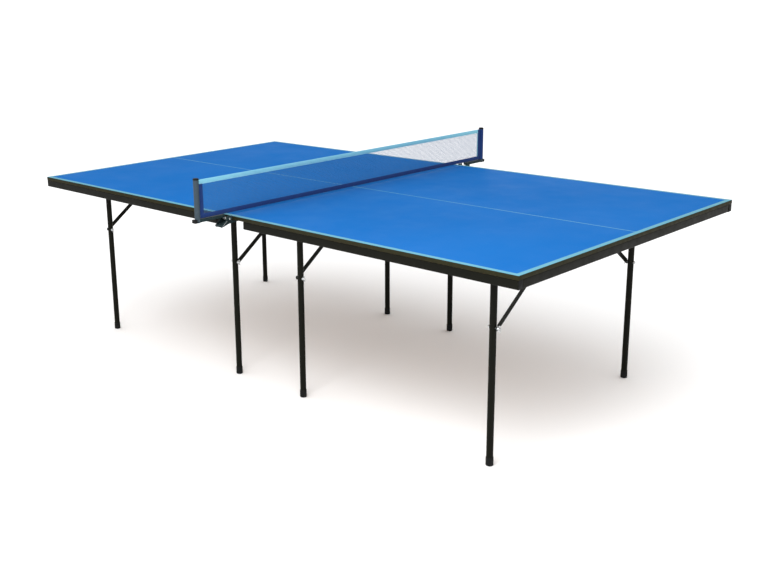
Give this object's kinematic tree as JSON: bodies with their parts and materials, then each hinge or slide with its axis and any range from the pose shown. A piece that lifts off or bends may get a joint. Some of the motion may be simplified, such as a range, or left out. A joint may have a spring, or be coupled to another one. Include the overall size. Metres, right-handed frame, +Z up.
{
  "type": "ping pong table",
  "caption": "Full-size ping pong table in two halves on folding braced steel legs, with a clip-on net between two edge posts.",
  "frame": {"origin": "on the floor under the middle of the net, the bottom centre of the bounding box", "axes": "+X along the table towards the right half, +Y across it towards the back posts, +Z up; the net stands on the plane X = 0"},
  "size_m": [2.74, 1.878, 0.929],
  "materials": {
    "table_top": "blue roller-painted board with pale line markings and a dark edge band",
    "frame_steel": "near-black powder coat, fine orange-peel, satin",
    "net_steel": "dark powder coat, satin",
    "bright_steel": "zinc-plated, bright",
    "foot_plastic": "moulded, matt",
    "net_mesh": "knitted nylon mesh with a pale tape on top and a dark blue hem"
  },
  "bodies": {
    "left_half": {"board_left": "table_top", "end_rail_left": "frame_steel", "side_rail_left_front": "frame_steel", "side_rail_left_back": "frame_steel", "beam_left_outer": "frame_steel", "beam_left_inner": "frame_steel", "net_bracket_front": "net_steel", "clip_pin_front": "bright_steel", "net_bracket_back": "net_steel", "clip_pin_back": "bright_steel", "net": "net_mesh"},
    "leg_left_outer_front": {"leg_left_outer_front": "frame_steel", "foot_left_outer_front": "foot_plastic", "brace_bolt_left_outer_front": "bright_steel"},
    "brace_left_outer_front": {"brace_left_outer_front": "frame_steel"},
    "wing_nut_left_outer_front": {"wing_nut_left_outer_front": "bright_steel"},
    "leg_left_outer_back": {"leg_left_outer_back": "frame_steel", "foot_left_outer_back": "foot_plastic", "brace_bolt_left_outer_back": "bright_steel"},
    "brace_left_outer_back": {"brace_left_outer_back": "frame_steel"},
    "wing_nut_left_outer_back": {"wing_nut_left_outer_back": "bright_steel"},
    "leg_left_inner_front": {"leg_left_inner_front": "frame_steel", "foot_left_inner_front": "foot_plastic", "brace_bolt_left_inner_front": "bright_steel"},
    "brace_left_inner_front": {"brace_left_inner_front": "frame_steel"},
    "wing_nut_left_inner_front": {"wing_nut_left_inner_front": "bright_steel"},
    "leg_left_inner_back": {"leg_left_inner_back": "frame_steel", "foot_left_inner_back": "foot_plastic", "brace_bolt_left_inner_back": "bright_steel"},
    "brace_left_inner_back": {"brace_left_inner_back": "frame_steel"},
    "wing_nut_left_inner_back": {"wing_nut_left_inner_back": "bright_steel"},
    "right_half": {"board_right": "table_top", "end_rail_right": "frame_steel", "side_rail_right_front": "frame_steel", "side_rail_right_back": "frame_steel", "beam_right_outer": "frame_steel", "beam_right_inner": "frame_steel"},
    "leg_right_outer_front": {"leg_right_outer_front": "frame_steel", "foot_right_outer_front": "foot_plastic", "brace_bolt_right_outer_front": "bright_steel"},
    "brace_right_outer_front": {"brace_right_outer_front": "frame_steel"},
    "wing_nut_right_outer_front": {"wing_nut_right_outer_front": "bright_steel"},
    "leg_right_outer_back": {"leg_right_outer_back": "frame_steel", "foot_right_outer_back": "foot_plastic", "brace_bolt_right_outer_back": "bright_steel"},
    "brace_right_outer_back": {"brace_right_outer_back": "frame_steel"},
    "wing_nut_right_outer_back": {"wing_nut_right_outer_back": "bright_steel"},
    "leg_right_inner_front": {"leg_right_inner_front": "frame_steel", "foot_right_inner_front": "foot_plastic", "brace_bolt_right_inner_front": "bright_steel"},
    "brace_right_inner_front": {"brace_right_inner_front": "frame_steel"},
    "wing_nut_right_inner_front": {"wing_nut_right_inner_front": "bright_steel"},
    "leg_right_inner_back": {"leg_right_inner_back": "frame_steel", "foot_right_inner_back": "foot_plastic", "brace_bolt_right_inner_back": "bright_steel"},
    "brace_right_inner_back": {"brace_right_inner_back": "frame_steel"},
    "wing_nut_right_inner_back": {"wing_nut_right_inner_back": "bright_steel"},
    "clip_lever_front": {"clip_lever_front": "net_steel"},
    "clip_lever_back": {"clip_lever_back": "net_steel"}
  },
  "joints": [
    {"name": "halves_apart", "type": "slide", "parent": "left_half", "child": "right_half", "axis": [1, 0, 0], "range_m": [0, 0.5]},
    {"name": "leg_fold_left_outer_front", "type": "hinge", "parent": "left_half", "child": "leg_left_outer_front", "pos_m": [-1.0935, -0.6, 0.728], "axis": [1, 0, 0], "range_deg": [0, 90]},
    {"name": "brace_swing_left_outer_front", "type": "hinge", "parent": "left_half", "child": "brace_left_outer_front", "pos_m": [-1.111, -0.295, 0.728], "axis": [1, 0, 0], "range_deg": [0, 145]},
    {"name": "wing_nut_turn_left_outer_front", "type": "hinge", "parent": "leg_left_outer_front", "child": "wing_nut_left_outer_front", "pos_m": [-1.075, -0.6, 0.508], "axis": [1, 0, 0], "continuous": true},
    {"name": "leg_fold_left_outer_back", "type": "hinge", "parent": "left_half", "child": "leg_left_outer_back", "pos_m": [-1.1665, 0.47, 0.728], "axis": [-1, 0, 0], "range_deg": [0, 90]},
    {"name": "brace_swing_left_outer_back", "type": "hinge", "parent": "left_half", "child": "brace_left_outer_back", "pos_m": [-1.149, 0.165, 0.728], "axis": [-1, 0, 0], "range_deg": [0, 145]},
    {"name": "wing_nut_turn_left_outer_back", "type": "hinge", "parent": "leg_left_outer_back", "child": "wing_nut_left_outer_back", "pos_m": [-1.185, 0.47, 0.508], "axis": [-1, 0, 0], "continuous": true},
    {"name": "leg_fold_left_inner_front", "type": "hinge", "parent": "left_half", "child": "leg_left_inner_front", "pos_m": [-0.1635, -0.6, 0.728], "axis": [1, 0, 0], "range_deg": [0, 90]},
    {"name": "brace_swing_left_inner_front", "type": "hinge", "parent": "left_half", "child": "brace_left_inner_front", "pos_m": [-0.1463, -0.295, 0.728], "axis": [1, 0, 0], "range_deg": [0, 145]},
    {"name": "wing_nut_turn_left_inner_front", "type": "hinge", "parent": "leg_left_inner_front", "child": "wing_nut_left_inner_front", "pos_m": [-0.1385, -0.6, 0.508], "axis": [1, 0, 0], "continuous": true},
    {"name": "leg_fold_left_inner_back", "type": "hinge", "parent": "left_half", "child": "leg_left_inner_back", "pos_m": [-0.2365, 0.47, 0.728], "axis": [-1, 0, 0], "range_deg": [0, 90]},
    {"name": "brace_swing_left_inner_back", "type": "hinge", "parent": "left_half", "child": "brace_left_inner_back", "pos_m": [-0.2537, 0.165, 0.728], "axis": [-1, 0, 0], "range_deg": [0, 145]},
    {"name": "wing_nut_turn_left_inner_back", "type": "hinge", "parent": "leg_left_inner_back", "child": "wing_nut_left_inner_back", "pos_m": [-0.2615, 0.47, 0.508], "axis": [-1, 0, 0], "continuous": true},
    {"name": "leg_fold_right_outer_front", "type": "hinge", "parent": "right_half", "child": "leg_right_outer_front", "pos_m": [1.1665, -0.6, 0.728], "axis": [1, 0, 0], "range_deg": [0, 90]},
    {"name": "brace_swing_right_outer_front", "type": "hinge", "parent": "right_half", "child": "brace_right_outer_front", "pos_m": [1.1837, -0.295, 0.728], "axis": [1, 0, 0], "range_deg": [0, 145]},
    {"name": "wing_nut_turn_right_outer_front", "type": "hinge", "parent": "leg_right_outer_front", "child": "wing_nut_right_outer_front", "pos_m": [1.1915, -0.6, 0.508], "axis": [1, 0, 0], "continuous": true},
    {"name": "leg_fold_right_outer_back", "type": "hinge", "parent": "right_half", "child": "leg_right_outer_back", "pos_m": [1.0935, 0.47, 0.728], "axis": [-1, 0, 0], "range_deg": [0, 90]},
    {"name": "brace_swing_right_outer_back", "type": "hinge", "parent": "right_half", "child": "brace_right_outer_back", "pos_m": [1.0763, 0.165, 0.728], "axis": [-1, 0, 0], "range_deg": [0, 145]},
    {"name": "wing_nut_turn_right_outer_back", "type": "hinge", "parent": "leg_right_outer_back", "child": "wing_nut_right_outer_back", "pos_m": [1.0685, 0.47, 0.508], "axis": [-1, 0, 0], "continuous": true},
    {"name": "leg_fold_right_inner_front", "type": "hinge", "parent": "right_half", "child": "leg_right_inner_front", "pos_m": [0.2365, -0.6, 0.728], "axis": [1, 0, 0], "range_deg": [0, 90]},
    {"name": "brace_swing_right_inner_front", "type": "hinge", "parent": "right_half", "child": "brace_right_inner_front", "pos_m": [0.219, -0.295, 0.728], "axis": [1, 0, 0], "range_deg": [0, 145]},
    {"name": "wing_nut_turn_right_inner_front", "type": "hinge", "parent": "leg_right_inner_front", "child": "wing_nut_right_inner_front", "pos_m": [0.255, -0.6, 0.508], "axis": [1, 0, 0], "continuous": true},
    {"name": "leg_fold_right_inner_back", "type": "hinge", "parent": "right_half", "child": "leg_right_inner_back", "pos_m": [0.1635, 0.47, 0.728], "axis": [-1, 0, 0], "range_deg": [0, 90]},
    {"name": "brace_swing_right_inner_back", "type": "hinge", "parent": "right_half", "child": "brace_right_inner_back", "pos_m": [0.181, 0.165, 0.728], "axis": [-1, 0, 0], "range_deg": [0, 145]},
    {"name": "wing_nut_turn_right_inner_back", "type": "hinge", "parent": "leg_right_inner_back", "child": "wing_nut_right_inner_back", "pos_m": [0.145, 0.47, 0.508], "axis": [-1, 0, 0], "continuous": true},
    {"name": "clip_open_front", "type": "hinge", "parent": "left_half", "child": "clip_lever_front", "pos_m": [0, -0.7785, 0.751], "axis": [-1, 0, 0], "range_deg": [0, 15], "stiffness_Nm_per_rad": 2, "springref_deg": -34.38},
    {"name": "clip_open_back", "type": "hinge", "parent": "left_half", "child": "clip_lever_back", "pos_m": [0, 0.7785, 0.751], "axis": [1, 0, 0], "range_deg": [0, 15], "stiffness_Nm_per_rad": 2, "springref_deg": -34.38}
  ],
  "couplings": [
    {"joint": "brace_swing_left_outer_front", "follows": "leg_fold_left_outer_front", "ratio": 1.6022},
    {"joint": "brace_swing_left_outer_back", "follows": "leg_fold_left_outer_back", "ratio": 1.6022},
    {"joint": "brace_swing_left_inner_front", "follows": "leg_fold_left_inner_front", "ratio": 1.6022},
    {"joint": "brace_swing_left_inner_back", "follows": "leg_fold_left_inner_back", "ratio": 1.6022},
    {"joint": "brace_swing_right_outer_front", "follows": "leg_fold_right_outer_front", "ratio": 1.6022},
    {"joint": "brace_swing_right_outer_back", "follows": "leg_fold_right_outer_back", "ratio": 1.6022},
    {"joint": "brace_swing_right_inner_front", "follows": "leg_fold_right_inner_front", "ratio": 1.6022},
    {"joint": "brace_swing_right_inner_back", "follows": "leg_fold_right_inner_back", "ratio": 1.6022}
  ]
}
